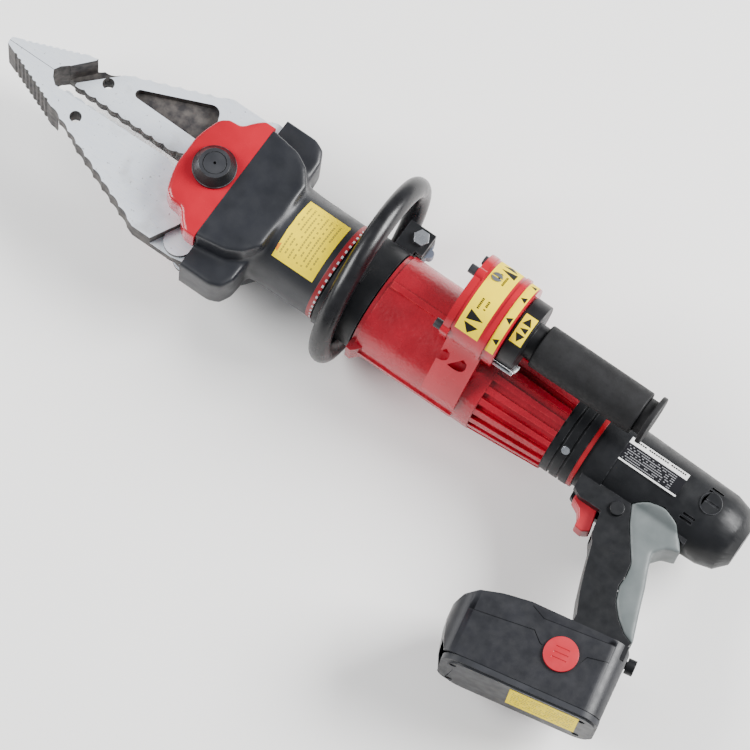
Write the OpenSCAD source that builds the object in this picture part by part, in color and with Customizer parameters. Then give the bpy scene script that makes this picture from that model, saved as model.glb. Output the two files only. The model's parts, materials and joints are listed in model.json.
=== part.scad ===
/* [Arms] */
// Distance from the pivot to the tips
arm_l = 200; // [190:1:205]
// Thickness of the tip blocks
arm_t = 44; // [42:1:45]
// Distance from the pivot to the outer corner at the arm's root
root_x = 29; // [27:1:31]
// Half width of the closed pair of arms at the root
root_y = 70.8; // [70:0.2:71]
// Radius of the lifting hole in each arm
hole_r = 5; // [4:0.5:6]
// Distance from the pivot to the lifting hole
hole_x = 119; // [115:1:122]
// Pitch of the large teeth along the outer edge
tooth_p = 12.5; // [12:0.1:13]
// Radius of the pivot bolt
bolt_r = 12; // [11:0.5:13]

/* [Head] */
// Half width of the head across the tails of the arms
head_w = 75; // [74:0.5:77]
// Half thickness of the raised middle of the head
head_t = 46; // [44:1:48]
// Half thickness of the head's side flanges
flange_t = 22; // [21.5:0.5:24]
// Radius of the neck
neck_r = 42.8; // [42:0.2:44]

/* [Handle ring] */
// Distance of the ring behind the pivot
ring_x = 142.4; // [141:0.1:144]
// Half width of the ring, to the middle of its tube
ring_a = 76.2; // [76:0.1:78]
// Half height of the ring, to the middle of its tube
ring_b = 60.8; // [60.6:0.1:62]
// Radius of the ring's tube
ring_r = 9; // [8.8:0.1:9.4]

/* [Pump and valve] */
// Radius of the pump housing
pump_r = 45; // [44:0.5:46]
// Number of grooves between the cooling fins
fin_n = 24; // [20:1:28]
// Radius of the valve body
valve_r = 37; // [35:0.5:38]
// Sideways place of the valve and its grip
valve_y = -21; // [-24:1:-18]
// Height of the valve and its grip above the long axis
valve_z = 75; // [74:1:78]
// Radius of the rubber grip
grip_r = 18.7; // [17:0.1:20]

/* [Motor and battery] */
// Radius of the motor housing
motor_r = 34; // [33:0.5:35]
// Half thickness of the pistol grip
handle_t = 19; // [18:0.5:21]
// Half thickness of the battery pack
pack_t = 36; // [35:0.5:38]
// Angle of the battery pack to the long axis
pack_a = 11; // [9:1:13]
// Radius of one battery cell
cell_r = 10.4; // [9:0.1:10.4]

/* [Hidden] */
$fn = 72;

// Half thickness of an arm, and the gap between the two arms
half_t = arm_t / 2;
gap = 0.5;
// The tail of each arm is thinner than its blade and ends in a lug
tail_t = 17.5;
lug = [-16, -57];
lug_r = 12;
lug_slot = [7, 14];
lug_pin_r = 5;
root_t = 10;
hub_r = 24;
bush_r = 15;
// The links run parallel to the long axis, from the lugs to the crosshead
link_l = 26;
link_t = 6.4;
cross_pin = [lug[0] - link_l, -58];
// The outer edge of the blade runs straight from the tip to the root corner
tip_y = 3.2;
edge_a = atan2(root_y - tip_y, arm_l - root_x);
edge_l = norm([root_y - tip_y, arm_l - root_x]);
rear_x = 12;
// Places along the long axis, as distances behind the pivot
head_x0 = 20;
head_x1 = 62;
neck_x1 = 120;
collar_x0 = 127;
collar_x1 = 163;
pump_x0 = 164;
fins_x0 = 277;
pump_x1 = 342;
motor_x0 = 371;
motor_x1 = 509;
// The pack's own frame: its middle, turned by pack_a
pack_c = [-428, 172];
overmould_t = handle_t + 1;
// The carrying ring's middle, off the long axis, and how it is tilted and leans forward
ring_c = [-15.6, 3.1];
ring_tilt = 15;
ring_lean = 0.071;
ring_skew = -0.036;
knob_at = [-161.5, -59];
ring_n = 56;
ring_m = 16;

// One point of the ring's round tube: i counts round the oval and j round the tube
function ring_point(i, j) = let (
    t = 360 * i / ring_n,
    c = [ring_a * cos(t), ring_b * sin(t)],
    o = [ring_b * cos(t), ring_a * sin(t)] / norm([ring_b * cos(t), ring_a * sin(t)]),
    q = c + o * ring_r * cos(360 * j / ring_m),
    y = q[0] * cos(ring_tilt) + q[1] * sin(ring_tilt),
    z = q[1] * cos(ring_tilt) - q[0] * sin(ring_tilt)
) [ring_r * sin(360 * j / ring_m) - ring_x + ring_lean * z + ring_skew * y, ring_c[0] + y, ring_c[1] + z];

// The tool stands on the lowest point of the ring, and its extents are centred over the origin
axis_z = -min([for (i = [0 : ring_n - 1]) ring_point(i, 0)[2]]);
pivot_x = (motor_x1 - arm_l) / 2;
pack_side = pack_c[1] + 60 * sin(pack_a) + 34.5 * cos(pack_a);
ring_side = min([for (i = [0 : ring_n - 1]) ring_point(i, 0)[1]]);
pivot_y = (pack_side + ring_side) / 2;

// Everything is drawn about the pivot, then set down on the ground
module tool() {
    translate([pivot_x, -pivot_y, axis_z]) children();
}

// A cylinder or cone along the long axis, between two distances behind the pivot
module along(x0, x1, r, r_rear = 0) {
    translate([-x1, 0, 0]) rotate([0, 90, 0])
        cylinder(h = x1 - x0, r1 = r_rear > 0 ? r_rear : r, r2 = r);
}

// A shape drawn in the cross section, drawn out along the long axis
module section(x0, x1) {
    translate([-x1, 0, 0]) rotate([90, 0, 90]) linear_extrude(x1 - x0) children();
}

// A ring round the long axis
module ring(x0, x1, r, inner) {
    difference() {
        along(x0, x1, r);
        along(x0 - 1, x1 + 1, inner);
    }
}

module plate(z0, z1) {
    translate([0, 0, z0]) linear_extrude(z1 - z0) children();
}

// ---- Arms: one forging, used twice, turned over for the other side ----

module tooth_cuts() {
    fine_n = 9;
    fine_p = 5.6;
    large_r = 13.75;
    large_n = 9;
    translate([arm_l - 0.5, tip_y]) rotate(180 - edge_a) {
        for (i = [0 : fine_n - 1]) translate([12 + i * fine_p, -0.9]) circle(1.9, $fn = 24);
        for (i = [0 : large_n - 1]) translate([70 + i * tooth_p, -large_r + 1.3]) circle(large_r);
    }
}

module blade_outline() {
    difference() {
        polygon([
            [arm_l, 0.2], [156.5, 0.2], [153.5, 5.5], [148, 10.2], [39.4, 7.7], [33, 10.6], [20, 10.6],
            [4, 0], [-0.4, 47.5], [rear_x, root_y], [root_x, root_y], [arm_l - 0.5, tip_y]
        ]);
        tooth_cuts();
    }
}

module tip_outline() {
    intersection() {
        blade_outline();
        polygon([[arm_l + 1, -1], [156.5, -1], [156.5, 0.2], [133.5, 26], [129, 45], [arm_l + 1, 20]]);
    }
}

// The groove behind the tip block, on the arm's inner face
module groove_outline() {
    polygon([[158, -2], [156.5, 0.2], [133.5, 26], [128, 50], [100, 50], [112, 36.5], [142, 6.2], [148, -2]]);
}

module pocket_outline() {
    hull() {
        translate([93, 30]) circle(4, $fn = 32);
        translate([38, 50]) circle(7.5, $fn = 32);
        translate([26, 29]) circle(4, $fn = 32);
    }
}

// The inner edge is a row of shallow convex teeth
module inner_teeth() {
    bump_r = 9.9;
    bump_n = 9;
    for (i = [0 : bump_n - 1]) translate([137 - i * 11.1, 5.2 + bump_r]) circle(bump_r);
}

module arm() {
    tail_a = atan2(lug[1], lug[0]);
    tail_l = norm(lug);
    difference() {
        union() {
            plate(gap, half_t) blade_outline();
            plate(-half_t, gap + 1) tip_outline();
            plate(gap, 13) intersection() {
                inner_teeth();
                translate([30, 2]) square([110, 20]);
            }
            plate(gap, half_t) circle(hub_r);
            plate(gap, tail_t) rotate(tail_a) polygon([
                [0, -hub_r + 1.5], [tail_l, -lug_r + 1], [tail_l, lug_r - 1], [0, hub_r - 1.5]]);
            plate(gap, tail_t) translate(lug) circle(lug_r);
            plate(gap, root_t) polygon([
                [0, 0], [-14, 44], [-19.4, 56], [-19.4, 68.4], [-8, root_y], [root_x, root_y], [20, 10]]);
            plate(gap, root_t + 4) translate([-7, 57]) circle(12.4);
        }
        plate(gap - 1, 8) difference() {
            groove_outline();
            polygon([[arm_l, -5], [156.5, -5], [156.5, 0.2], [133.5, 26], [129, 55], [arm_l, 55]]);
        }
        plate(gap - 1, 9) pocket_outline();
        translate([0, 0, -1]) cylinder(h = half_t + 2, r = bush_r);
        translate([hole_x, 22.5, -1]) cylinder(h = half_t + 2, r = hole_r);
        plate(lug_slot[0], lug_slot[1]) translate([lug[0] - 20, lug[1] - 20]) square([30, 40]);
        translate([lug[0], lug[1], -1]) cylinder(h = half_t, r = lug_pin_r);
    }
}

module arm_left() { color("gainsboro") tool() arm(); }
module arm_right() { color("gainsboro") tool() rotate([180, 0, 0]) arm(); }

module bush() {
    difference() {
        translate([0, 0, gap]) cylinder(h = half_t - gap, r = bush_r);
        cylinder(h = half_t + 1, r = bolt_r + 0.05);
    }
}

module bush_left() { color("goldenrod") tool() bush(); }
module bush_right() { color("goldenrod") tool() rotate([180, 0, 0]) bush(); }

module lug_pin() { translate([lug[0], lug[1], gap + 0.3]) cylinder(h = tail_t - gap - 0.3, r = lug_pin_r); }
module lug_pin_left() { color("silver") tool() lug_pin(); }
module lug_pin_right() { color("silver") tool() rotate([180, 0, 0]) lug_pin(); }

// ---- Linkage: the links carry the push of the crosshead to the lugs ----

// The eye at the crosshead is long sideways, because the lug moves on an arc
module link() {
    mid = (lug_slot[0] + lug_slot[1]) / 2;
    eye_r = 8;
    play = 1.4;
    difference() {
        plate(mid - link_t / 2, mid + link_t / 2) union() {
            translate(lug) circle(eye_r);
            translate([cross_pin[0], lug[1]]) circle(eye_r);
            translate([cross_pin[0], lug[1] - 6]) square([link_l, 12]);
        }
        translate([lug[0], lug[1], 0]) cylinder(h = tail_t, r = lug_pin_r + 0.05);
        plate(0, tail_t) for (s = [-1 : 0.5 : 1]) translate([cross_pin[0], lug[1] + s * play]) circle(4.6);
    }
}

module link_left() { color("silver") tool() link(); }
module link_right() { color("silver") tool() rotate([180, 0, 0]) link(); }

module crosshead_ear() {
    difference() {
        union() {
            plate(gap, tail_t) translate([-56, -66]) square([8, 46]);
            plate(gap, tail_t) translate([-56, -66]) square([14, 16]);
            plate(gap, tail_t) translate(cross_pin) circle(7.6);
        }
        plate(lug_slot[0], lug_slot[1]) translate([-50.5, -67.5]) square([20, 20]);
        translate([cross_pin[0], cross_pin[1], -1]) cylinder(h = tail_t + 2, r = 4);
    }
}

module crosshead() {
    color("dimgray") tool() {
        difference() {
            union() {
                along(57, 69, 30);
                crosshead_ear();
                rotate([180, 0, 0]) crosshead_ear();
                translate([-60, -25.5, -tail_t]) cube([8, 51, 2 * tail_t]);
            }
            along(50, 70, 8);
        }
    }
}

module crosshead_pins() {
    color("silver") tool() for (a = [0, 180]) rotate([a, 0, 0])
        translate([cross_pin[0], cross_pin[1], gap + 0.3]) cylinder(h = tail_t - gap - 0.3, r = 4);
}

module piston_rod() {
    color("silver") tool() {
        along(52, 69, 8);
        along(69, 122, 11);
        along(122, 138, 8);
    }
}

module piston() {
    color("dimgray") tool() difference() {
        along(122, 138, 29.95);
        along(121, 139, 8);
        ring(127, 133, 31, 26);
    }
}

module piston_seal() { color("black") tool() ring(127, 133, 29.98, 26); }

module rod_gland() {
    color("slategray") tool() ring(76, 92, 34.4, 11.05);
}

module cylinder_barrel() {
    color("dimgray") tool() difference() {
        union() {
            along(92, 120, 34.4);
            along(120, 168, 40);
        }
        along(91, 160, 30);
        along(159, 169, 6);
    }
}

// ---- Pivot ----

module pivot_bolt() {
    color("dimgray") tool() {
        translate([0, 0, -52]) cylinder(h = 98, r = bolt_r);
        translate([0, 0, head_t]) cylinder(h = 5, r = 14.5);
    }
}

module pivot_nut() {
    color("dimgray") tool() translate([0, 0, -head_t - 5.5]) difference() {
        cylinder(h = 5.5, r = 14.5, $fn = 6);
        translate([0, 0, -1]) cylinder(h = 8, r = bolt_r);
    }
}

module pivot_cap() {
    difference() {
        union() {
            translate([0, 0, head_t]) cylinder(h = 3, r = 18);
            translate([0, 0, head_t + 3]) cylinder(h = 9, r1 = 17.6, r2 = 12.5);
        }
        translate([0, 0, head_t - 1]) cylinder(h = 7.5, r = 14.8);
        translate([0, 0, head_t + 11.2]) difference() {
            cylinder(h = 2, r = 9.8);
            translate([0, 0, -1]) cylinder(h = 4, r = 9);
        }
        translate([0, 0, head_t + 9]) cylinder(h = 5, r = 1.2);
    }
}

module pivot_cap_upper() { color([0.13, 0.13, 0.14]) tool() pivot_cap(); }
module pivot_cap_lower() { color([0.13, 0.13, 0.14]) tool() rotate([180, 0, 0]) pivot_cap(); }

// ---- Head ----

function both(points) = concat(points, [for (i = [len(points) - 1 : -1 : 0]) [points[i][0], -points[i][1]]]);

module cover() {
    edge = [[26.8, 12], [24.5, 22], [20, 36], [14, 40.5], [3, 41.5], [-5, 52], [-10, 56.5], [-19.7, 58]];
    difference() {
        plate(half_t + 0.4, head_t) polygon(both(edge));
        difference() {
            plate(half_t, head_t - 6) polygon(both([[20, 15], [14, 30], [-3, 34], [-13, 46], [-24, 46]]));
            cylinder(h = head_t, r = 17);
        }
        cylinder(h = head_t + 1, r = bolt_r + 0.05);
    }
}

module cover_upper() { color([0.75, 0.07, 0.08]) tool() cover(); }
module cover_lower() { color([0.75, 0.07, 0.08]) tool() rotate([180, 0, 0]) cover(); }

module head_housing() {
    raised = [[-head_x0, 54], [-46, 50], [-58, 44], [-68, 30]];
    wide = [[-head_x0, head_w], [-50, head_w], [-58, head_w - 5], [-head_x1, head_w - 15], [-head_x1, 30]];
    color([0.11, 0.11, 0.12]) tool() difference() {
        union() {
            plate(-head_t, head_t) polygon(both(raised));
            plate(-flange_t, flange_t) polygon(both(wide));
            along(55, neck_x1, neck_r);
            along(58, 74, 45, neck_r - 0.5);
        }
        translate([-57, -69, -flange_t + 3.4]) cube([60, 138, 2 * flange_t - 6.8]);
        translate([-57, -33, -32]) cube([60, 66, 64]);
        translate([-27, -54, -half_t - 0.6]) cube([30, 108, arm_t + 1.2]);
        along(50, 76, 32);
        along(75.9, neck_x1 + 1, 34.4);
    }
}

module trim_ring() { color([0.75, 0.1, 0.1]) tool() ring(neck_x1, 125, 43, 40); }

// ---- Carrying handle and its clamp collar, which swivel on the barrel ----

module carrying_handle() {
    points = [for (i = [0 : ring_n - 1]) for (j = [0 : ring_m - 1]) ring_point(i, j)];
    faces = [for (i = [0 : ring_n - 1]) for (j = [0 : ring_m - 1])
        let (k = (i + 1) % ring_n, l = (j + 1) % ring_m)
        [i * ring_m + j, i * ring_m + l, k * ring_m + l, k * ring_m + j]];
    color([0.1, 0.1, 0.1]) tool() polyhedron(points, faces, convexity = 4);
}

// Three short struts join the ring to the collar
module handle_collar() {
    color([0.12, 0.12, 0.13]) tool() difference() {
        union() {
            along(collar_x0, collar_x1, 45);
            translate([-163, -68, -9]) cube([17, 32, 18]);
            translate([-170, -68, -9]) cube([8, 20.5, 18]);
            for (a = [0, 85, 265]) rotate([a, 0, 0]) translate([-148, 38, -7]) cube([12, 15.5, 14]);
        }
        along(collar_x0 - 1, collar_x1 + 1, 40.1);
        translate([-175, -70, -1.5]) cube([60, 40, 3]);
        translate([knob_at[0], knob_at[1], -20]) cylinder(h = 40, r = 4.05);
    }
}

module collar_screw() {
    color("silver") tool() {
        translate([knob_at[0], knob_at[1], -16]) cylinder(h = 25, r = 4);
        translate([knob_at[0], knob_at[1], 9]) cylinder(h = 4, r = 7, $fn = 6);
    }
}

module star_knob() {
    color([0.55, 0.6, 0.68]) tool() translate([knob_at[0], knob_at[1], -20.3]) difference() {
        union() {
            cylinder(h = 9, r = 10.5);
            for (a = [0 : 60 : 300]) rotate(a) translate([9.5, 0, 0]) cylinder(h = 9, r = 4, $fn = 32);
        }
        translate([0, 0, 4]) cylinder(h = 6, r = 4.05);
    }
}

// ---- Pump ----

module fin_cuts() {
    for (i = [0 : fin_n - 1]) rotate([(i + 0.5) * 360 / fin_n, 0, 0])
        translate([-pump_x1 - 1, -2.9, 35.6]) rotate([0, -4, 0]) cube([pump_x1 - fins_x0 + 1, 5.8, 14]);
}

module pump_housing() {
    color([0.72, 0.07, 0.08]) tool() difference() {
        union() {
            along(pump_x0, pump_x0 + 4, pump_r - 1.5);
            along(pump_x0 + 4, fins_x0, pump_r);
            difference() {
                along(fins_x0, pump_x1, pump_r - 0.6, 39.6);
                fin_cuts();
            }
            translate([-224.5, -6, 40]) cube([55.5, 5.6, 6.8]);
            translate([-262, 42, -2.5]) cube([98, 4.6, 5]);
            plate(-11, 11) polygon([[-164, 38], [-164, 50.5], [-168.5, 51], [-173, 46.5], [-180, 38]]);
        }
        along(pump_x0 - 1, 168, 40.05);
        along(167, 255, 35);
        along(254, pump_x1 - 8, 30);
        along(pump_x1 - 9, pump_x1 + 1, 13);
    }
}

module pump_shaft() {
    color("silver") tool() {
        along(180, 383, 6);
        translate([0, 0, 3]) along(205, 225, 12);
    }
}

module pump_bearings() {
    color("silver") tool() {
        difference() {
            along(184, 194, 34.9);
            along(183, 195, 6.1);
        }
        difference() {
            along(240, 252, 34.9);
            along(239, 253, 6.1);
        }
    }
}

module pump_plungers() {
    color("silver") tool() for (a = [90, 210, 330]) rotate([a, 0, 0])
        translate([-215, 0, 16.5]) cylinder(h = 18, r = 5);
}

// ---- Valve and twist grip: on an axis beside the pump ----

module valve_axis() { translate([0, valve_y, valve_z]) children(); }

module plug_place() { valve_axis() rotate([24, 0, 0]) translate([-240, 0, valve_r - 1.4]) children(); }

module oval_window(x) {
    translate([-x, 22, 44]) rotate([0, 0, 90]) rotate([48, 0, 0]) rotate([0, 0, 90])
        translate([0, 0, -14]) linear_extrude(30) intersection() {
            translate([0, 10.4]) circle(16.4);
            translate([0, -10.4]) circle(16.4);
        }
}

module valve_body() {
    color([0.75, 0.07, 0.08]) tool() difference() {
        union() {
            valve_axis() along(225, 231, valve_r + 1);
            valve_axis() along(231, 258, valve_r);
            valve_axis() along(258, 262, valve_r + 1);
            valve_axis() along(262, 272, valve_r - 1);
            section(232, 263) polygon([
                [12, 82], [19, 66], [34, 42], [44, 22], [44.5, 12], [30, 5], [-30, 20], [-44, 30],
                [-50, 46], [-54, 62], [-30, 75]
            ]);
            valve_axis() for (a = [15, 105, 195, 285]) rotate([a, 0, 0])
                translate([0, 0, valve_r - 1]) along(225, 232, 5);
        }
        along(200, 300, pump_r);
        oval_window(240);
        oval_window(256);
        valve_axis() along(238, 273, 10.05);
        plug_place() cylinder(h = 8, r = 4.65);
    }
}

module valve_screws() {
    color([0.15, 0.15, 0.16]) tool() valve_axis() for (a = [15, 105, 285]) rotate([a, 0, 0])
        translate([0, 0, valve_r - 1]) along(218.5, 225, 4);
}

module valve_plug() {
    color("darkgray") tool() plug_place() difference() {
        translate([0, 0, 0.1]) cylinder(h = 2.2, r = 4.6);
        translate([-5, -0.7, 1.4]) cube([10, 1.4, 2]);
    }
}

module valve_spool() { color("silver") tool() valve_axis() along(240, 274, 10); }

module twist_collar() {
    color([0.13, 0.13, 0.14]) tool() valve_axis() difference() {
        union() {
            along(272.6, 287, 29.5);
            along(287, 295, 15);
        }
        along(270, 274, 10);
        along(280, 296, 10);
    }
}

// A bright guard plate bent round the near side of the twist collar
module stop_plate() {
    color("white") tool() valve_axis() intersection() {
        ring(272, 290, 33.6, 30.4);
        translate([-295, 16.5, -40]) cube([30, 40, 36]);
    }
}

module grip_core() { color("dimgray") tool() valve_axis() along(280, 397, 10); }
module grip_rubber() { color([0.16, 0.16, 0.17]) tool() valve_axis() ring(295, 390, grip_r, 10); }
module grip_flange() {
    color([0.12, 0.12, 0.13]) tool() valve_axis() difference() {
        union() {
            along(390, 397, 15);
            along(397, 401, 21);
        }
        along(389, 397, 10);
    }
}

// ---- Drive ----

module adapter() {
    color([0.14, 0.14, 0.15]) tool() difference() {
        union() {
            along(pump_x1, 349, 38);
            along(349, 351, 36.5);
            along(351, 358, 38);
            along(358, 360, 36.5);
            along(360, 367, 38);
        }
        along(pump_x1 - 1, 368, 12);
        for (a = [-40, 80, 200]) rotate([a, 0, 0]) translate([-355, 0, 32]) cylinder(h = 10, r = 3.5);
    }
}

module adapter_screws() {
    color("silver") tool() for (a = [-40, 80, 200]) rotate([a, 0, 0])
        translate([-355, 0, 33]) cylinder(h = 6, r = 3.5);
}

module drive_ring() { color([0.75, 0.12, 0.12]) tool() ring(367, motor_x0, 37.5, 12); }

// ---- Motor and pistol grip ----

module handle_outline() {
    polygon([
        [-374, 20], [-376, 42], [-384, 46], [-404, 46], [-408, 64], [-413, 72], [-420, 92], [-427, 110],
        [-435, 126], [-436, 140], [-481, 131], [-483, 118], [-474, 98], [-466, 76], [-455, 51], [-460, 42],
        [-472, 35], [-473, 15], [-430, -5], [-390, -5]
    ]);
}

module handle_cavity() {
    polygon([
        [-404, 26], [-408, 44], [-412, 58], [-418, 76], [-425, 96], [-434, 116], [-440, 132], [-474, 124],
        [-468, 104], [-458, 80], [-448, 58], [-444, 40], [-440, 26]
    ]);
}

// The overmould covers the back of the grip and the web of the hand
overmould_front = [
    [-483, 121], [-474, 118], [-463, 110], [-454, 100], [-449, 88], [-449, 78], [-447, 68], [-438, 56],
    [-428, 42], [-420, 27], [-430, 20], [-444, 17], [-458, 21], [-468, 30]
];
overmould_back = [[-474, 38], [-463, 42], [-456, 51], [-461, 64], [-467, 77], [-475, 98], [-484, 120]];
module overmould_outline() { polygon(concat(overmould_front, overmould_back)); }

module pack_frame() { translate([pack_c[0], pack_c[1], 0]) rotate(pack_a) children(); }

module foot() { pack_frame() translate([-63, -33, -32]) cube([82, 11.5, 64]); }

module motor_shell(side) {
    difference() {
        intersection() {
            union() {
                along(motor_x0, 392, motor_r + 1);
                along(392, 486, motor_r, motor_r - 2);
                along(486, 500, motor_r - 2, motor_r - 6);
                along(500, motor_x1, motor_r - 6, motor_r - 16);
                plate(-handle_t, handle_t) handle_outline();
                foot();
                pack_frame() translate([-67, -27, 0]) rotate([0, 90, 0]) cylinder(h = 6, r = 3.2);
                pack_frame() translate([-74, -27, 0]) rotate([0, 90, 0]) cylinder(h = 7, r = 6.5);
            }
            translate([-520, -60, side > 0 ? 0 : -60]) cube([170, 230, 60]);
        }
        along(motor_x0 + 4, 489, 29);
        along(motor_x0 - 1, 376, 12);
        plate(-handle_t + 3.5, handle_t - 3.5) handle_cavity();
        translate([-413, 38, -9.6]) cube([42, 29, 19.2]);
        translate([-413.5, 37.5, -30]) cylinder(h = 60, r = 6.1);
        plate(-40, 40) polygon(concat(overmould_front, [[-510, 38], [-510, 121]]));
        for (z = [-33.5, 26]) translate([-472, -5, z]) cylinder(h = 7.5, r = 9.2);
        pack_frame() translate([-50, -23, -24]) cube([60, 10, 48]);
        for (y = [-19, -15.5, 12, 15.5]) translate([-472 + y / 4, y, -40]) cube([11, 1.7, 80]);
    }
}

module motor_shell_upper() { color([0.16, 0.16, 0.17]) tool() motor_shell(1); }
module motor_shell_lower() { color([0.16, 0.16, 0.17]) tool() motor_shell(-1); }

module grip_overmould() {
    color([0.5, 0.53, 0.54]) tool() difference() {
        union() {
            plate(-overmould_t, overmould_t) overmould_outline();
            intersection() {
                along(400, 486, motor_r);
                plate(-40, 40) overmould_outline();
            }
        }
        plate(-handle_t + 3.5, handle_t - 3.5) handle_cavity();
        along(motor_x0 + 4, 489, 29);
    }
}

module motor_stator() { color("slategray") tool() ring(420, 468, 28.8, 20); }
module motor_rotor() {
    color("peru") tool() {
        along(424, 464, 19);
        along(409, 424, 5);
        along(464, 480, 9);
    }
}
module motor_fan() {
    color("dimgray") tool() difference() {
        union() {
            along(412, 417, 12);
            for (a = [0 : 45 : 315]) rotate([a, 0, 0]) translate([-418, -1, 10]) cube([6, 2, 13]);
        }
        along(411, 419, 5);
    }
}
module gearbox() {
    color("dimgray") tool() difference() {
        along(376, 408, 28.8);
        along(375, 384, 6.1);
    }
}

module brush_caps() {
    color([0.14, 0.14, 0.15]) tool() for (z = [-33.5, 29]) translate([-472, -5, z]) difference() {
        cylinder(h = 4.5, r = 9.2);
        translate([-7, -0.8, z < 0 ? -1 : 3.5]) cube([14, 1.6, 2]);
    }
}

module switch_unit() {
    color([0.2, 0.2, 0.2]) tool() translate([-436, 44, -8]) cube([22, 14, 16]);
}

module trigger() {
    color([0.8, 0.1, 0.1]) tool() plate(-9, 9) polygon([
        [-380, 42], [-398, 39], [-401, 44], [-406, 62], [-400, 66], [-393, 65], [-392, 58], [-388, 52],
        [-380, 48]
    ]);
}

module direction_button() {
    color([0.2, 0.2, 0.21]) tool() translate([-413.5, 37.5, -22]) cylinder(h = 44, r = 6);
}

// ---- Battery pack ----

module pack_outline() {
    polygon([
        [-66, -29], [-63, -33], [20, -34], [42, -31], [60, -26], [70, -19], [75, -10], [75, 2], [71, 18],
        [67, 28], [-65, 28]
    ]);
}

// The pack's ends are rounded all the way down
module pack_plan(u0, u1, half, corner, v0, v1) {
    translate([0, v1, 0]) rotate([90, 0, 0]) linear_extrude(v1 - v0) difference() {
        translate([u0, -half]) square([u1 - u0, 2 * half]);
        for (u = [u0, u1]) for (s = [-1, 1]) difference() {
            translate([u, s * half]) square(2 * corner, center = true);
            translate([u + (u == u0 ? corner : -corner), s * (half - corner)]) circle(corner);
        }
    }
}

module battery_case() {
    color([0.15, 0.15, 0.17]) tool() difference() {
        pack_frame() difference() {
            intersection() {
                plate(-pack_t, pack_t) pack_outline();
                pack_plan(-66, 75, pack_t, 17, -40, 30);
            }
            translate([-63.3, -40, -32.3]) cube([82.6, 18.7, 64.6]);
            pack_plan(-63, 71, pack_t - 3, 14, -18.5, 28.1);
            translate([-17, -4.5, -50]) cylinder(h = 100, r = 14.2);
        }
        pack_frame() translate([-70, -40, -4]) cube([8, 16.8, 8]);
    }
}

module battery_base() {
    color([0.17, 0.17, 0.18]) tool() pack_frame() difference() {
        union() {
            pack_plan(-65.5, 66.5, pack_t - 0.5, 17, 28, 33);
            pack_plan(-63, 60, pack_t - 3, 15, 33, 34.5);
        }
        for (u = [-52, 56]) for (z = [-22, 22])
            translate([u, 40, z]) rotate([90, 0, 0]) cylinder(h = 9, r = 3);
    }
}

module battery_screws() {
    color("silver") tool() pack_frame() for (u = [-52, 56]) for (z = [-22, 22])
        translate([u, 33.2, z]) rotate([90, 0, 0]) cylinder(h = 2.2, r = 3);
}

module battery_cells() {
    color("steelblue") tool() pack_frame() for (i = [0 : 4]) for (j = [-1 : 1])
        translate([-46 + i * 21.2, 27, j * 21]) rotate([90, 0, 0]) cylinder(h = 42, r = cell_r);
}

module release_button() {
    pack_frame() translate([-17, -4.5, 34]) difference() {
        cylinder(h = 4.5, r = 14);
        for (y = [-4.5, 0, 4.5]) translate([-6, y - 0.5, 3.9]) cube([12, 1, 2]);
    }
}

module release_button_upper() { color([0.8, 0.12, 0.12]) tool() release_button(); }
module release_button_lower() { color([0.8, 0.12, 0.12]) tool() mirror([0, 0, 1]) release_button(); }

arm_left();
arm_right();
bush_left();
bush_right();
lug_pin_left();
lug_pin_right();
link_left();
link_right();
crosshead();
crosshead_pins();
piston_rod();
piston();
piston_seal();
rod_gland();
cylinder_barrel();
pivot_bolt();
pivot_nut();
pivot_cap_upper();
pivot_cap_lower();
cover_upper();
cover_lower();
head_housing();
trim_ring();
carrying_handle();
handle_collar();
collar_screw();
star_knob();
pump_housing();
pump_shaft();
pump_bearings();
pump_plungers();
valve_body();
valve_screws();
valve_plug();
valve_spool();
twist_collar();
stop_plate();
grip_core();
grip_rubber();
grip_flange();
adapter();
adapter_screws();
drive_ring();
motor_shell_upper();
motor_shell_lower();
grip_overmould();
motor_stator();
motor_rotor();
motor_fan();
gearbox();
brush_caps();
switch_unit();
trigger();
direction_button();
battery_case();
battery_base();
battery_cells();
battery_screws();
release_button_upper();
release_button_lower();
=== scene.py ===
import json
import math
import bpy
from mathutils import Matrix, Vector

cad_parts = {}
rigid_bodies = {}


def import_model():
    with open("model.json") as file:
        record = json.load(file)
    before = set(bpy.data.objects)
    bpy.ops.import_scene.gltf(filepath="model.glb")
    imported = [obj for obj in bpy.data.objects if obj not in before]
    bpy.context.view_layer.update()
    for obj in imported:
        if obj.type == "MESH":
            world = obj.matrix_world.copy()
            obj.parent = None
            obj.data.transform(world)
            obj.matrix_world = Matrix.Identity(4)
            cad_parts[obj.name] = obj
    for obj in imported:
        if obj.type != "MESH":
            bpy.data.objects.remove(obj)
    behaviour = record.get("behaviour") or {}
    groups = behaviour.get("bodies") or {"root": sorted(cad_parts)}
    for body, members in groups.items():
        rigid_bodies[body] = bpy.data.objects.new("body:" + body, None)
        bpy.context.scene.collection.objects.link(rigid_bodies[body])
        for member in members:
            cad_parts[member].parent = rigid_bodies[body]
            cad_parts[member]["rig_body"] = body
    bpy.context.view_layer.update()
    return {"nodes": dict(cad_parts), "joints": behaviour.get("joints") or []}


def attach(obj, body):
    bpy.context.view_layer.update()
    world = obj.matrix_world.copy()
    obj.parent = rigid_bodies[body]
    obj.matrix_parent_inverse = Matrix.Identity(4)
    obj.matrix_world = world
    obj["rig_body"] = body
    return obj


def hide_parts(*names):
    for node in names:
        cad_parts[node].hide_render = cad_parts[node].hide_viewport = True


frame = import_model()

# The studio: a pale seamless floor under two soft boxes. The tool lies level on it, seen from above
# and from the battery's side, through a long lens. Places are set out from the arms' pivot.
pivot = Vector(next(joint for joint in frame["joints"] if joint["name"] == "arm_left_hinge")["pos_m"])


def at(x, y, z):
    """A place given in millimetres from the pivot; X runs forward to the blades' tips."""
    return pivot + Vector((x, y, z)) / 1000


def from_pivot(spot):
    return (spot - pivot) * 1000


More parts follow.
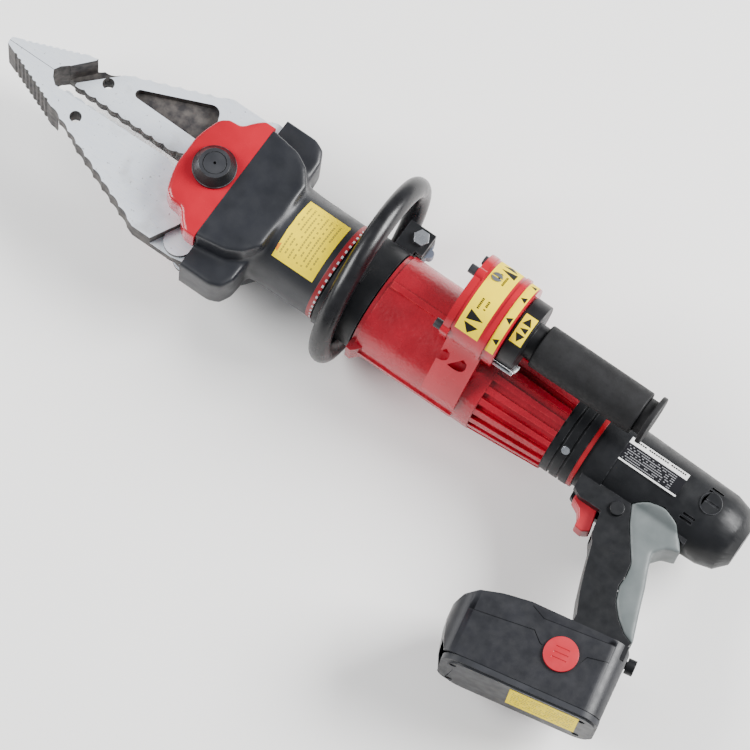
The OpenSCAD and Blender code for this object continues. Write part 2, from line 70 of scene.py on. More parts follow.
bpy.ops.object.select_all(action="DESELECT")
bpy.ops.mesh.primitive_plane_add(size=30.0, location=(0, 0, 0))
floor = bpy.context.object
floor.name = "studio_floor"
pale = bpy.data.materials.new("pale_floor")
pale.use_nodes = True
pale_shader = pale.node_tree.nodes["Principled BSDF"]
pale_shader.inputs["Base Color"].default_value = (0.94, 0.93, 0.91, 1)
pale_shader.inputs["Roughness"].default_value = 0.8
floor.data.materials.append(pale)


def soft_box(name, place, size, watts, target=(0, 0, 0.07)):
    light = bpy.data.lights.new(name, "AREA")
    light.shape = "RECTANGLE"
    light.size, light.size_y = size
    light.energy = watts
    lamp = bpy.data.objects.new(name, light)
    bpy.context.scene.collection.objects.link(lamp)
    lamp.location = place
    lamp.rotation_euler = (Vector(target) - Vector(place)).to_track_quat("-Z", "Y").to_euler()


soft_box("window_light", (-1.75, -1.35, 1.75), (1.5, 1.3), 190)
soft_box("room_light", (1.9, 0.9, 1.8), (1.5, 1.2), 105)
world = bpy.data.worlds.new("studio")
world.use_nodes = True
sky = world.node_tree.nodes["Background"]
sky.inputs["Color"].default_value = (0.92, 0.95, 1.0, 1)
sky.inputs["Strength"].default_value = 0.45
bpy.context.scene.world = world

camera = bpy.data.objects.new("camera", bpy.data.cameras.new("camera"))
bpy.context.scene.collection.objects.link(camera)
camera.data.sensor_width = 36.0
camera.data.lens = 211.2
camera.data.clip_end = 50.0
camera.location = pivot + Vector((-0.60361, 0.991835, 3.328922))
camera.rotation_euler = (math.radians(16.759), math.radians(-3.4248), math.radians(-145.25))
bpy.context.scene.camera = camera

# The two arms are one alloy forging used twice. Their flat faces are ground bright, their bluish white
# partly a painted sky reflection;
# the teeth and the edges keep the dark skin of the heat treatment and the sunk floors are left as
# forged, their dark colour partly painted shade.


def pick(piece):
    bpy.ops.object.select_all(action="DESELECT")
    bpy.context.view_layer.objects.active = piece
    piece.select_set(True)


def shape_with(piece, kind, **settings):
    """Gives the active piece a modifier and applies it."""
    modifier = piece.modifiers.new(kind.lower(), kind)
    for key, value in settings.items():
        setattr(modifier, key, value)
    bpy.ops.object.modifier_apply(modifier=modifier.name)


def shade(degrees):
    bpy.ops.object.shade_smooth_by_angle(angle=math.radians(degrees))


def round_edges(piece, chosen, radius):
    """A large radius along the sharp edges whose two ends both pass the test."""
    sides = {}
    for face in piece.data.polygons:
        for key in face.edge_keys:
            sides.setdefault(key, []).append(face.normal)
    for rim in piece.data.edges:
        ends = [from_pivot(piece.data.vertices[v].co) for v in rim.vertices]
        both = sides.get(rim.key, [])
        sharp = len(both) == 2 and both[0].angle(both[1]) > math.radians(30)
        rim.select = sharp and chosen(*ends[0]) and chosen(*ends[1])
    bpy.ops.object.mode_set(mode="EDIT")
    bpy.ops.mesh.select_mode(type="EDGE")
    bpy.ops.mesh.bevel(offset=radius / 1000, segments=4, affect="EDGES", clamp_overlap=True)
    bpy.ops.object.mode_set(mode="OBJECT")


def machined_copy(node, name, edge=0.6, segments=2, corner=32.0, smooth=38.0, rounding=None):
    """A copy of a CAD node as one clean mesh, with its edges eased by so many millimetres.
    A rounding is a test for the ends of the edges that first get a larger radius, and the radius."""
    piece = bpy.data.objects.new(name, frame["nodes"][node].data.copy())
    bpy.context.scene.collection.objects.link(piece)
    piece.data.materials.clear()
    pick(piece)
    bpy.ops.mesh.customdata_custom_splitnormals_clear()
    bpy.ops.object.mode_set(mode="EDIT")
    bpy.ops.mesh.select_all(action="SELECT")
    bpy.ops.mesh.remove_doubles(threshold=0.00002)
    bpy.ops.mesh.dissolve_limited(angle_limit=math.radians(0.6))
    bpy.ops.mesh.select_all(action="DESELECT")
    bpy.ops.object.mode_set(mode="OBJECT")
    if rounding:
        round_edges(piece, *rounding)
    if edge:
        shape_with(piece, "BEVEL", width=edge / 1000, segments=segments, limit_method="ANGLE",
                   angle_limit=math.radians(corner))
    shade(smooth)
    if edge:
        shape_with(piece, "WEIGHTED_NORMAL", keep_sharp=True)
    return piece


def stand_for(piece, material, *nodes):
    """The piece gets the material, rides with the body of its CAD nodes and stands for them, which are
    hidden.
    """
    piece.data.materials.append(material)
    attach(piece, frame["nodes"][nodes[0]]["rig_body"])
    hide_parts(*nodes)


def coat_node(material, *nodes):
    """A CAD node that keeps its own shape gets its finish."""
    for node in nodes:
        piece = frame["nodes"][node]
        if not piece.material_slots:
            piece.data.materials.append(material)
        for holder in piece.material_slots:
            holder.material = material


def calc(tree, operation, *values):
    """One sum of numbers or of other nodes' outputs."""
    node = tree.nodes.new("ShaderNodeMath")
    node.operation = operation
    for index, value in enumerate(values):
        if isinstance(value, (int, float)):
            node.inputs[index].default_value = value
        else:
            tree.links.new(value, node.inputs[index])
    return node.outputs[0]


def noise(tree, scale, detail=4.0, stretch=(1, 1, 1)):
    """Cloudy noise that is fixed to the piece, with so many spots to the metre."""
    place = tree.nodes.new("ShaderNodeTexCoord")
    mapping = tree.nodes.new("ShaderNodeMapping")
    mapping.inputs["Scale"].default_value = stretch
    texture = tree.nodes.new("ShaderNodeTexNoise")
    texture.inputs["Scale"].default_value = scale
    texture.inputs["Detail"].default_value = detail
    tree.links.new(place.outputs["Object"], mapping.inputs["Vector"])
    tree.links.new(mapping.outputs[0], texture.inputs["Vector"])
    return texture.outputs["Fac"]


def spread(tree, value, low, high, to_low=0.0, to_high=1.0):
    node = tree.nodes.new("ShaderNodeMapRange")
    tree.links.new(value, node.inputs["Value"])
    for key, number in (("From Min", low), ("From Max", high), ("To Min", to_low), ("To Max", to_high)):
        node.inputs[key].default_value = number
    return node.outputs[0]


def blend_colours(tree, share, first, second):
    """The second colour over the first; a colour is three numbers or another node's output."""
    node = tree.nodes.new("ShaderNodeMix")
    node.data_type = "RGBA"
    if isinstance(share, (int, float)):
        node.inputs[0].default_value = share
    else:
        tree.links.new(share, node.inputs[0])
    for index, colour in ((6, first), (7, second)):
        if isinstance(colour, tuple):
            node.inputs[index].default_value = (*colour, 1)
        else:
            tree.links.new(colour, node.inputs[index])
    return node.outputs[2]


def piece_axes(tree, output="Object"):
    """X, Y and Z of a point on the piece, or of its facing."""
    place = tree.nodes.new("ShaderNodeTexCoord")
    axes = tree.nodes.new("ShaderNodeSeparateXYZ")
    tree.links.new(place.outputs[output], axes.inputs[0])
    return axes.outputs


def uneven_skin(tree, shader, height, depth):
    """Fine relief of so many metres; gives back the node, so that its strength can vary."""
    bump = tree.nodes.new("ShaderNodeBump")
    bump.inputs["Distance"].default_value = depth
    tree.links.new(height, bump.inputs["Height"])
    tree.links.new(bump.outputs[0], shader.inputs["Normal"])
    return bump


def new_finish(name):
    material = bpy.data.materials.new(name)
    material.use_nodes = True
    tree = material.node_tree
    return material, tree, tree.nodes["Principled BSDF"]


def surface(name, colour, other, rough, metallic=0.0, mottle=45.0, grain=1400.0, depth=0.00003,
            stretch=(1, 1, 1), coat=0.0, swing=0.07, edge_wear_and_highlight=None, wear_and_highlight_width=0.0011, shine=0.5):
    """A finish with mottled colour, uneven gloss, a fine grain and, where asked, lighter edges that are
    partly rubbed wear and partly painted highlight.
    """
    material, tree, shader = new_finish(name)
    tint = blend_colours(tree, spread(tree, noise(tree, mottle), 0.38, 0.66), colour, other)
    # The lighter colour is laid on the edges in patches: partly rubbed wear, partly painted highlight.
    if edge_wear_and_highlight:
        bevel = tree.nodes.new("ShaderNodeBevel")
        bevel.samples = 4
        bevel.inputs["Radius"].default_value = wear_and_highlight_width
        flat = tree.nodes.new("ShaderNodeNewGeometry")
        dot = tree.nodes.new("ShaderNodeVectorMath")
        dot.operation = "DOT_PRODUCT"
        tree.links.new(bevel.outputs[0], dot.inputs[0])
        tree.links.new(flat.outputs["Normal"], dot.inputs[1])
        rub_and_highlight = spread(tree, dot.outputs["Value"], 0.985, 0.9)
        rub_and_highlight = calc(tree, "MULTIPLY", rub_and_highlight, spread(tree, noise(tree, 160.0), 0.42, 0.62))
        tint = blend_colours(tree, rub_and_highlight, tint, edge_wear_and_highlight)
    tree.links.new(tint, shader.inputs["Base Color"])
    gloss = spread(tree, noise(tree, mottle * 2.3, 6.0), 0.3, 0.7, rough - swing, rough + swing)
    tree.links.new(gloss, shader.inputs["Roughness"])
    shader.inputs["Metallic"].default_value = metallic
    shader.inputs["Specular IOR Level"].default_value = shine
    shader.inputs["Coat Weight"].default_value = coat
    shader.inputs["Coat Roughness"].default_value = 0.12
    uneven_skin(tree, shader, noise(tree, grain, 3.0, stretch), depth)
    return material


sunk_floor, floor_margin = 0.0082, 0.0013


def ground_steel():
    """Bright bluish white on flat faces, partly a painted sky reflection; dark on the sides and on the
    sunk floors at that height off the middle, partly forged skin and partly painted shade.
    """
    material, tree, shader = new_finish("ground_steel")
    height = calc(tree, "ABSOLUTE", calc(tree, "SUBTRACT", piece_axes(tree)["Z"], pivot.z))
    flat = calc(tree, "GREATER_THAN", calc(tree, "ABSOLUTE", piece_axes(tree, "Normal")["Z"]), 0.75)
    sunk = calc(tree, "COMPARE", height, sunk_floor, floor_margin)
    ground_and_reflecting_faces = calc(tree, "MULTIPLY", flat, calc(tree, "SUBTRACT", 1.0, sunk))
    stains = spread(tree, noise(tree, 38.0, 7.0), 0.56, 0.75)
    specks = spread(tree, noise(tree, 420.0, 2.0), 0.68, 0.74)
    lines = noise(tree, 60.0, 5.0, (1.5, 38.0, 1.5))
    # A bright bluish white for the flat faces: the ground steel, with a painted sky reflection.
    bright = blend_colours(tree, spread(tree, lines, 0.3, 0.7), (0.82, 0.89, 1.0), (0.94, 0.98, 1.0))
    bright = blend_colours(tree, calc(tree, "MULTIPLY", stains, 0.45), bright, (0.42, 0.40, 0.38))
    bright = blend_colours(tree, calc(tree, "MULTIPLY", specks, 0.5), bright, (0.16, 0.14, 0.13))
    # A dark colour for the sides, teeth and sunk floors: the forged skin, and painted shade.
    forged_skin_and_shade = blend_colours(tree, spread(tree, noise(tree, 150.0, 6.0), 0.35, 0.68),
                           (0.030, 0.028, 0.030), (0.105, 0.095, 0.088))
    tree.links.new(blend_colours(tree, ground_and_reflecting_faces, forged_skin_and_shade, bright), shader.inputs["Base Color"])
    tree.links.new(calc(tree, "MULTIPLY_ADD", ground_and_reflecting_faces, 0.10, 0.45), shader.inputs["Metallic"])
    sheen = calc(tree, "MULTIPLY_ADD", ground_and_reflecting_faces, -0.24, 0.58)
    tree.links.new(calc(tree, "MULTIPLY_ADD", lines, 0.12, sheen), shader.inputs["Roughness"])
    skin = uneven_skin(tree, shader, noise(tree, 500.0, 5.0), 0.0001)
    tree.links.new(spread(tree, ground_and_reflecting_faces, 0.0, 1.0, 1.0, 0.12), skin.inputs["Strength"])
    return material


steel_arms = ground_steel()
for side in ("left", "right"):
    stand_for(machined_copy("arm_" + side, "forged_arm_" + side, 0.5), steel_arms, "arm_" + side)

# Bronze bushes are pressed into the hubs, and steel pins join the lugs to the links and the links
# to the crosshead. The hard chromed piston rod pushes the crosshead through its gland.
bronze = surface("bronze", (0.50, 0.33, 0.13), (0.62, 0.45, 0.22), 0.34, 1.0)
bright_steel = surface("bright_steel", (0.52, 0.54, 0.57), (0.70, 0.72, 0.75), 0.27, 1.0)
dark_steel = surface("dark_steel", (0.030, 0.030, 0.034), (0.070, 0.070, 0.076), 0.42, 0.6)
machined = surface("machined_steel", (0.28, 0.30, 0.33), (0.42, 0.44, 0.47), 0.36, 1.0,
                   grain=300.0, stretch=(12, 1, 1))
chromed = surface("hard_chrome", (0.80, 0.82, 0.86), (0.90, 0.91, 0.93), 0.10, 1.0, swing=0.03)
seal_black = surface("seal_rubber", (0.020, 0.020, 0.021), (0.035, 0.035, 0.037), 0.62)
coat_node(bronze, "bush_left", "bush_right")
coat_node(bright_steel, "lug_pin_left", "lug_pin_right", "crosshead_pins")
for side in ("left", "right"):
    stand_for(machined_copy("link_" + side, "drive_link_" + side, 0.5), bright_steel, "link_" + side)
stand_for(machined_copy("crosshead", "ram_crosshead", 0.7), machined, "crosshead")
coat_node(chromed, "piston_rod")
coat_node(machined, "piston", "rod_gland")
coat_node(seal_black, "piston_seal")

# The head is one alloy casting with big soft fillets, painted satin black, that runs back into the
# neck. Its two glossy red cover plates meet it flush at a crisp rim and clamp the pivot bolt.


def prism(outline, low, high):
    """A block drawn in plan, in millimetres from the pivot, and drawn up between two heights."""
    mesh = bpy.data.meshes.new("plan")
    mesh.from_pydata([at(x, y, low) for x, y in outline], [], [list(range(len(outline)))])
    block = bpy.data.objects.new("plan", mesh)
    bpy.context.scene.collection.objects.link(block)
    pick(block)
    bpy.ops.object.mode_set(mode="EDIT")
    bpy.ops.mesh.select_all(action="SELECT")
    bpy.ops.mesh.extrude_region_move(TRANSFORM_OT_translate={"value": (0, 0, (high - low) / 1000)})
    bpy.ops.mesh.select_all(action="SELECT")
    bpy.ops.mesh.normals_make_consistent(inside=False)
    bpy.ops.object.mode_set(mode="OBJECT")
    return block


def both_sides(points):
    """The points of the left side, and their mirror images back along the right side."""
    return points + [(x, -y) for x, y in reversed(points)]


def barrel(x0, x1, radius, rear_radius=None, centre=(0, 0), vertices=96):
    """A round bar or a cone along the tool, between two places behind the pivot."""
    bpy.ops.object.select_all(action="DESELECT")
    bpy.ops.mesh.primitive_cone_add(
        vertices=vertices, radius1=(radius if rear_radius is None else rear_radius) / 1000,
        radius2=radius / 1000, depth=(x1 - x0) / 1000, location=at(-(x0 + x1) / 2, *centre),
        rotation=(0, math.pi / 2, 0))
    bpy.ops.object.transform_apply(location=True, rotation=True, scale=True)
    return bpy.context.object


def join(blocks):
    bpy.ops.object.select_all(action="DESELECT")
    for block in blocks:
        block.select_set(True)
    bpy.context.view_layer.objects.active = blocks[0]
    bpy.ops.object.join()
    return bpy.context.object


def cast(blocks, name, voxel, rounds):
    """The blocks melt into one casting, and its corners and hollows are smoothed out."""
    form = join(blocks)
    form.name = name
    shape_with(form, "REMESH", mode="VOXEL", voxel_size=voxel / 1000)
    shape_with(form, "SMOOTH", factor=0.5, iterations=rounds)
    return form


def slice_off(piece, place, direction):
    """Cuts the piece at a plane, in millimetres, and throws away what the direction points to."""
    pick(piece)
    bpy.ops.object.mode_set(mode="EDIT")
    bpy.ops.mesh.select_all(action="SELECT")
    bpy.ops.mesh.bisect(plane_co=at(*place), plane_no=direction, use_fill=True, clear_outer=True)
    bpy.ops.object.mode_set(mode="OBJECT")


def hollow(piece, cutter):
    """Cuts the cutter's shape out of the piece, and throws the cutter away."""
    pick(piece)
    shape_with(piece, "BOOLEAN", operation="DIFFERENCE", object=cutter)
    bpy.data.objects.remove(cutter)


head_half_height = 46.0
neck_radius, neck_end = 42.8, 120
raised = [(-8, 49), (-20, 54.5), (-46, 50.5), (-58, 44), (-68, 31)]
flange = [(-8, 75), (-48, 75), (-57, 71), (-62, 61), (-64, 30)]
head = cast([
    prism(both_sides(raised), -head_half_height, head_half_height),
    prism(both_sides(flange), -22.0, 22.0),
    barrel(50, neck_end + 14, neck_radius), barrel(56, 76, 44.0, 43.2)], "cast_head", 1.5, 22)
slice_off(head, (-20, 0, 0), (1, 0, 0))
slice_off(head, (-neck_end, 0, 0), (-1, 0, 0))
# Inside: the gap for the arms, the pocket for the links, room for the hubs, and the ram's bore.
for half_width, rear, half_gap in ((69, 57, 18.6), (33, 57, 32.0), (51.5, 27, 22.6)):
    hollow(head, prism(both_sides([(5, half_width), (-rear, half_width)]), -half_gap, half_gap))
hollow(head, barrel(40, 77, 32.0))
hollow(head, barrel(75.9, 130, 34.4))
shade(40)
black_cast = surface("black_paint", (0.006, 0.007, 0.010), (0.010, 0.011, 0.015), 0.42, 0.0,
                     mottle=30.0, grain=900.0, depth=0.00005, edge_wear_and_highlight=(0.05, 0.05, 0.055), shine=0.5)
stand_for(head, black_cast, "head_housing")

red_gloss = surface("red_gloss", (0.34, 0.004, 0.014), (0.43, 0.006, 0.020), 0.25, 0.0,
                    mottle=26.0, grain=700.0, depth=0.00003, coat=0.2, swing=0.05, shine=0.3)
cover_edge = [(27.2, 13), (25, 23), (20.5, 36), (14, 41), (3, 42), (-5, 52), (-10, 56.5), (-34, 57)]
cover_foot, cover_rear = 22.4, -19.8
for side, way in (("upper", 1), ("lower", -1)):
    low, high = sorted((6.0 * way, head_half_height * way))
    cover = cast([prism(both_sides(cover_edge), low, high)], "clamp_cover_" + side, 1.2, 34)
    slice_off(cover, (cover_rear, 0, 0), (-1, 0, 0))
    slice_off(cover, (0, 0, cover_foot * way), (0, 0, -way))
    shade(40)
    stand_for(cover, red_gloss, "cover_" + side)

# The pivot bolt runs through both covers, and a turned black cap closes each end of it.
cap_black = surface("cap_black", (0.005, 0.0055, 0.0065), (0.010, 0.0105, 0.012), 0.38, 0.0,
                    edge_wear_and_highlight=(0.10, 0.10, 0.11), shine=0.3)
cap_top = surface("cap_face", (0.020, 0.021, 0.025), (0.040, 0.041, 0.046), 0.42, 0.2)
cap_face_radius, cap_face_height = 12.3, 56.5
coat_node(dark_steel, "pivot_bolt", "pivot_nut")
for side in ("upper", "lower"):
    cap = machined_copy("pivot_cap_" + side, "pivot_cap_" + side + "_turned", 0.45)
    stand_for(cap, cap_black, "pivot_cap_" + side)
    cap.data.materials.append(cap_top)
    for face in cap.data.polygons:
        spot = from_pivot(face.center)
        turned = math.hypot(spot.x, spot.y) < cap_face_radius and abs(face.normal.z) > 0.9
        if turned and abs(spot.z) > cap_face_height:
            face.material_index = 1

# A printed yellow film is stuck round the neck. Its print is only rows of small grey bars.


film_thickness = 0.0002


def wrap(name, x0, x1, radius, low_angle, high_angle, centre=(0, 0)):
    """A film on a round body; the angles run from the -Y side over the top to the +Y side."""
    film = barrel(x0, x1, radius, centre=centre, vertices=180)
    film.name = name

    def angle_and_place(spot):
        spot = (spot - at(0, *centre)) * 1000
        return math.degrees(math.atan2(spot.z, -spot.y)) % 360, -spot.x

    bpy.ops.object.mode_set(mode="EDIT")
    bpy.ops.mesh.select_mode(type="FACE")
    bpy.ops.object.mode_set(mode="OBJECT")
    for face in film.data.polygons:
        angle = angle_and_place(face.center)[0]
        face.select = not (low_angle <= angle <= high_angle) or abs(face.normal.x) > 0.9
    bpy.ops.object.mode_set(mode="EDIT")
    bpy.ops.mesh.delete(type="FACE")
    bpy.ops.object.mode_set(mode="OBJECT")
    chart = film.data.uv_layers.active or film.data.uv_layers.new(name="UVMap")
    for loop in film.data.loops:
        angle, place = angle_and_place(film.data.vertices[loop.vertex_index].co)
        chart.data[loop.index].uv = (
            (angle - low_angle) / (high_angle - low_angle), (place - x0) / (x1 - x0))
    shape_with(film, "SOLIDIFY", thickness=film_thickness, offset=1.0)
    shade(40)
    return film


def chart_axes(tree):
    """Along and down a film, from 0 to 1, out of its own UV map."""
    chart = tree.nodes.new("ShaderNodeUVMap")
    axes = tree.nodes.new("ShaderNodeSeparateXYZ")
    tree.links.new(chart.outputs[0], axes.inputs[0])
    return axes.outputs["X"], axes.outputs["Y"]


def between(tree, value, low, high):
    above = calc(tree, "GREATER_THAN", value, low)
    return calc(tree, "MULTIPLY", above, calc(tree, "LESS_THAN", value, high))


def rows_of_bars(tree, along, down, rows, words, low, high, top, bottom):
    """So many rows of short bars, with gaps like those between words, inside four limits."""
    line = calc(tree, "MULTIPLY", down, rows)
    word = calc(tree, "MULTIPLY", along, words)
    inked = between(tree, calc(tree, "FRACT", line), 0.3, 0.66)
    cell = tree.nodes.new("ShaderNodeCombineXYZ")
    tree.links.new(calc(tree, "FLOOR", word), cell.inputs[0])
    tree.links.new(calc(tree, "FLOOR", line), cell.inputs[1])
    chance = tree.nodes.new("ShaderNodeTexWhiteNoise")
    chance.noise_dimensions = "2D"
    tree.links.new(cell.outputs[0], chance.inputs["Vector"])
    inked = calc(tree, "MULTIPLY", inked, calc(tree, "GREATER_THAN", chance.outputs["Value"], 0.26))
    inked = calc(tree, "MULTIPLY", inked, between(tree, calc(tree, "FRACT", word), 0.0, 0.8))
    for value, first, last in ((along, low, high), (down, top, bottom)):
        inked = calc(tree, "MULTIPLY", inked, between(tree, value, first, last))
    return inked


def triangle(tree, along, down, middle, tip, foot, slope):
    """A filled triangle, from its tip to its foot; the slope is its half width over its height."""
    reach = calc(tree, "DIVIDE", calc(tree, "SUBTRACT", along, tip), foot - tip)
    wide = calc(tree, "ABSOLUTE", calc(tree, "SUBTRACT", down, middle))
    inside = calc(tree, "LESS_THAN", wide, calc(tree, "MULTIPLY", reach, slope))
    return calc(tree, "MULTIPLY", inside, calc(tree, "LESS_THAN", reach, 1.0))


def film_finish(name, paper, print_marks):
    """A satin plastic film; each ink of its print is laid over the paper colour."""
    material, tree, shader = new_finish(name)
    along, down = chart_axes(tree)
    faded = tuple(part * 0.9 for part in paper)
    tint = blend_colours(tree, spread(tree, noise(tree, 60.0), 0.35, 0.7), paper, faded)
    for ink, marks in print_marks(tree, along, down):
        tint = blend_colours(tree, marks, tint, ink)
    tree.links.new(tint, shader.inputs["Base Color"])
    tree.links.new(spread(tree, noise(tree, 300.0), 0.3, 0.7, 0.36, 0.48), shader.inputs["Roughness"])
    shader.inputs["Specular IOR Level"].default_value = 0.04
    uneven_skin(tree, shader, noise(tree, 120.0), 0.00003)
    return material


yellow = (0.95, 0.72, 0.0)
ink_grey = (0.16, 0.14, 0.06)
ink_black = (0.015, 0.015, 0.015)
ink_orange = (0.75, 0.25, 0.02)


def neck_print(tree, along, down):
    """A short title beside one small orange triangle, and eleven rows of bars under them."""
    text = rows_of_bars(tree, along, down, 11, 24, 0.1, 0.9, 0.2, 0.93)
    title = rows_of_bars(tree, along, down, 6, 9, 0.3, 0.62, 0.06, 0.17)
    sign = triangle(tree, down, along, 0.84, 0.05, 0.17, 0.07)
    faint_text = calc(tree, "MULTIPLY", text, 0.75)
    return [(ink_grey, faint_text), (ink_grey, title), (ink_orange, sign)]


def stick(film, material, body):
    """A film stands for no CAD node: it rides on the body under it."""
    film.data.materials.append(material)
    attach(film, body)


stick(wrap("neck_film", 70.5, 115, neck_radius + 0.02, 54, 132),
      film_finish("neck_film_print", yellow, neck_print), "tool")

# A thin red trim ring with silver dashes closes the neck, and the black barrel of the ram, on which
# the carrying handle turns, runs on behind it to the pump.


def dashed_red():
    """Red, with silver dashes round its rear half only."""
    material, tree, shader = new_finish("dashed_red")
    spot = piece_axes(tree)
    turn = calc(tree, "ARCTAN2", calc(tree, "SUBTRACT", spot["Z"], pivot.z),
                calc(tree, "SUBTRACT", spot["Y"], pivot.y))
    dash = calc(tree, "GREATER_THAN", calc(tree, "FRACT", calc(tree, "MULTIPLY", turn, 7.6)), 0.55)
    rear = calc(tree, "LESS_THAN", spot["X"], pivot.x - 0.1232)
    silver = calc(tree, "MULTIPLY", dash, rear)
    tint = blend_colours(tree, silver, (0.22, 0.004, 0.008), (0.42, 0.42, 0.44))
    tree.links.new(tint, shader.inputs["Base Color"])
    tree.links.new(spread(tree, noise(tree, 200.0), 0.3, 0.7, 0.30, 0.46), shader.inputs["Roughness"])
    return material


stand_for(machined_copy("trim_ring", "neck_trim_ring", 0.3), dashed_red(), "trim_ring")
black_satin = surface("black_satin", (0.005, 0.0055, 0.0065), (0.009, 0.0095, 0.011), 0.40, 0.0,
                      grain=1100.0, depth=0.00003, edge_wear_and_highlight=(0.06, 0.06, 0.064), shine=0.3)
coat_node(black_satin, "cylinder_barrel")

# The carrying handle is one oval ring of thick tube, powder coated satin black. Three struts weld
# it to a split collar, which a bolt and a plastic star knob clamp on the barrel.
handle_black = surface("handle_black", (0.004, 0.004, 0.005), (0.008, 0.008, 0.0095), 0.30, 0.0,
                       mottle=70.0, grain=1500.0, depth=0.00002, swing=0.06, shine=0.45)
ring = machined_copy("carrying_handle", "ring_handle", 0.0, smooth=80.0)
shape_with(ring, "SUBSURF", levels=1, render_levels=1)
stand_for(ring, handle_black, "carrying_handle")
stand_for(machined_copy("handle_collar", "swivel_collar", 1.0), black_satin, "handle_collar")
stand_for(machined_copy("collar_screw", "clamp_bolt", 0.4), bright_steel, "collar_screw")
knob_grey = surface("knob_grey", (0.095, 0.115, 0.155), (0.14, 0.165, 0.21), 0.42, 0.0,
                    edge_wear_and_highlight=(0.25, 0.28, 0.33))
stand_for(machined_copy("star_knob", "clamp_star_knob", 1.2, 3), knob_grey, "star_knob")

# The pump housing is a sand casting under thick glossy red paint, so its skin is pebbled; its fins are
# painted lighter red along their ridges, partly rubbed paint and partly painted highlight. A steel shaft
# turns in it, on bearings, under three plungers.
red_cast = surface("red_cast_paint", (0.27, 0.003, 0.012), (0.36, 0.005, 0.018), 0.26, 0.0,
                   mottle=34.0, grain=300.0, depth=0.00040, coat=0.15, edge_wear_and_highlight=(0.50, 0.03, 0.04),
                   wear_and_highlight_width=0.0014, shine=0.45)
stand_for(machined_copy("pump_housing", "cast_pump_housing", 1.0, 3), red_cast, "pump_housing")
coat_node(bright_steel, "pump_shaft", "pump_bearings", "pump_plungers")

# The valve block is bolted on the pump's side. Yellow films with plain arrows wrap its drum, and a
# black collar, turned by the grip, carries one more under a bright guard plate.
valve_centre = (-21.0, 75.0)
drum_radius, drum_lip_radius, collar_radius = 37.0, 36.0, 29.5
stand_for(machined_copy("valve_body", "valve_block", 0.8, 3), red_gloss, "valve_body")
stand_for(machined_copy("valve_screws", "valve_cap_screws", 0.4), dark_steel, "valve_screws")
slot_steel = surface("plug_steel", (0.22, 0.24, 0.27), (0.34, 0.36, 0.40), 0.34, 0.9)
stand_for(machined_copy("valve_plug", "slotted_plug", 0.3), slot_steel, "valve_plug")


def arrows_print(tree, along, down):
    """An arrow head at each end, one up and one down, and a few bars beside them."""
    marks = [triangle(tree, along, down, 0.5, 0.02, 0.12, 0.30),
             triangle(tree, along, down, 0.5, 0.98, 0.88, 0.30),
             triangle(tree, down, along, 0.20, 0.2, 0.85, 0.055),
             triangle(tree, down, along, 0.80, 0.85, 0.2, 0.055),
             rows_of_bars(tree, along, down, 4, 60, 0.27, 0.40, 0.2, 0.8),
             rows_of_bars(tree, along, down, 4, 60, 0.60, 0.73, 0.2, 0.8)]
    return [(ink_black, mark) for mark in marks]


def small_marks_print(tree, along, down):
    return [(ink_black, triangle(tree, down, along, place, 0.15, 0.85, 0.035))
            for place in (0.15, 0.38, 0.62, 0.85)]


def collar_print(tree, along, down):
    marks = [triangle(tree, along, down, 0.5, 0.08, 0.34, 0.36),
             triangle(tree, along, down, 0.5, 0.92, 0.66, 0.36),
             triangle(tree, down, along, 0.5, 0.2, 0.8, 0.10)]
    return [(ink_black, mark) for mark in marks]


stick(wrap("valve_film_wide", 234, 255, drum_radius + 0.02, 22, 150, valve_centre),
      film_finish("arrow_print", yellow, arrows_print), "tool")
stick(wrap("valve_film_narrow", 263, 270.5, drum_lip_radius + 0.02, 18, 156, valve_centre),
      film_finish("small_mark_print", yellow, small_marks_print), "tool")
coat_node(bright_steel, "valve_spool")
collar_black = surface("collar_black", (0.004, 0.004, 0.005), (0.008, 0.008, 0.009), 0.44, shine=0.3)
stand_for(machined_copy("twist_collar", "twist_collar_moulded", 0.8), collar_black, "twist_collar")
stick(wrap("collar_film", 274.5, 285.5, collar_radius + 0.02, 78, 128, valve_centre),
      film_finish("collar_print", yellow, collar_print), "twist_grip")
stand_for(machined_copy("stop_plate", "bright_guard_plate", 0.4), chromed, "stop_plate")

# The control grip is a thick sleeve of matt rubber on a steel core, scuffed by gloves, and a
# flange with a turned groove keeps the hand on it.
grip_black = surface("scuffed_rubber", (0.005, 0.005, 0.0055), (0.009, 0.009, 0.010), 0.62, 0.0,
                     mottle=110.0, grain=800.0, depth=0.00010, swing=0.12, shine=0.3)
coat_node(bright_steel, "grip_core")
stand_for(machined_copy("grip_rubber", "rubber_sleeve", 1.6, 3), grip_black, "grip_rubber")
stand_for(machined_copy("grip_flange", "grip_end_flange", 0.9, 3), grip_black, "grip_flange")

# A grooved black adapter, held by three screws, joins the pump to the electric drive, with a thin
# red ring behind it.
stand_for(machined_copy("adapter", "drive_adapter", 0.5), black_satin, "adapter")
stand_for(machined_copy("adapter_screws", "adapter_set_screws", 0.3), bright_steel, "adapter_screws")
ring_red = surface("ring_red", (0.28, 0.003, 0.008), (0.36, 0.006, 0.012), 0.34)
stand_for(machined_copy("drive_ring", "red_drive_ring", 0.3), ring_red, "drive_ring")

# The drive's two half shells are moulded in satin black nylon with a fine spark texture, and hold
# the motor, its fan and the reduction gear. Round brush caps screw into their sides.
shell_black = surface("moulded_black", (0.0045, 0.005, 0.006), (0.0075, 0.008, 0.0095), 0.42, 0.0,
                      mottle=55.0, grain=1900.0, depth=0.00004, edge_wear_and_highlight=(0.04, 0.04, 0.044), shine=0.3)


cross_button = (-413.5, 37.5)
grip_half_width = 19


